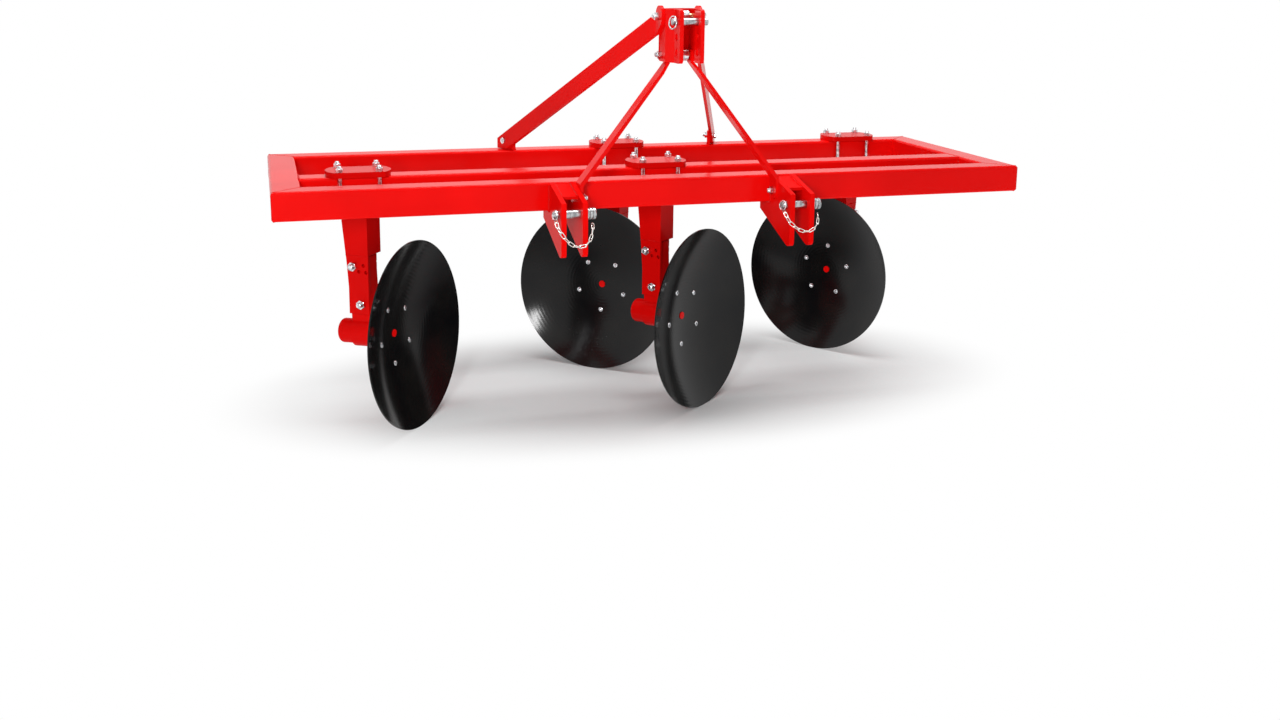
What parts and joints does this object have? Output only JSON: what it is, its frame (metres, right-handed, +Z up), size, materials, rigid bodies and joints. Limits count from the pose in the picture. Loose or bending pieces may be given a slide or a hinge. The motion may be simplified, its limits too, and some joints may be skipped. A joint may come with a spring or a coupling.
{
  "type": "disc ridger",
  "caption": "Mounted disc ridger with a square tube frame, a braced three-point mast and dished discs that roll freely on clamped, angled legs.",
  "frame": {"origin": "centre of the bounding box in plan, on the ground under the discs' rims", "axes": "+X across the travel, to the right as seen by someone standing in front of the hitch and looking at it; +Y against the travel, away from the tractor; +Z up"},
  "size_m": [2.776, 1.2244, 1.5134],
  "materials": {
    "red_paint": "gloss",
    "zinc": "zinc plated",
    "disc_black": "gloss"
  },
  "bodies": {
    "frame": {"front_beam": "red_paint", "middle_beam": "red_paint", "rear_beam": "red_paint", "left_beam": "red_paint", "right_beam": "red_paint", "left_hitch_bracket": "red_paint", "right_hitch_bracket": "red_paint", "left_hitch_pin": "zinc", "right_hitch_pin": "zinc", "mast_head": "red_paint", "top_link_pin": "zinc", "mast_bolts": "zinc", "left_front_brace": "red_paint", "right_front_brace": "red_paint", "left_rear_brace": "red_paint", "right_rear_brace": "red_paint", "brace_lugs": "red_paint", "brace_bolts": "zinc", "clamp_plate_1": "red_paint", "clamp_plate_2": "red_paint", "clamp_plate_3": "red_paint", "clamp_plate_4": "red_paint", "leg_bolts_1": "zinc", "leg_bolts_2": "zinc", "leg_bolts_3": "zinc", "leg_bolts_4": "zinc", "leg_1": "red_paint", "leg_2": "red_paint", "leg_3": "red_paint", "leg_4": "red_paint", "arm_1": "red_paint", "arm_2": "red_paint", "arm_3": "red_paint", "arm_4": "red_paint"},
    "disc_1_rolling": {"hub_1": "red_paint", "disc_1": "disc_black", "disc_bolts_1": "zinc"},
    "disc_2_rolling": {"hub_2": "red_paint", "disc_2": "disc_black", "disc_bolts_2": "zinc"},
    "disc_3_rolling": {"hub_3": "red_paint", "disc_3": "disc_black", "disc_bolts_3": "zinc"},
    "disc_4_rolling": {"hub_4": "red_paint", "disc_4": "disc_black", "disc_bolts_4": "zinc"}
  },
  "joints": [
    {"name": "disc_1_spin", "type": "hinge", "parent": "frame", "child": "disc_1_rolling", "pos_m": [-1.04649, -0.13386, 0.33303], "axis": [0.8235, -0.566, 0.0384], "continuous": true},
    {"name": "disc_2_spin", "type": "hinge", "parent": "frame", "child": "disc_2_rolling", "pos_m": [-0.00507, 0.4198, 0.33303], "axis": [-0.6556, -0.7542, 0.0384], "continuous": true},
    {"name": "disc_3_spin", "type": "hinge", "parent": "frame", "child": "disc_3_rolling", "pos_m": [0.05307, -0.1422, 0.33303], "axis": [0.6556, -0.7542, 0.0384], "continuous": true},
    {"name": "disc_4_spin", "type": "hinge", "parent": "frame", "child": "disc_4_rolling", "pos_m": [1.04649, 0.42814, 0.33303], "axis": [-0.8235, -0.566, 0.0384], "continuous": true}
  ]
}
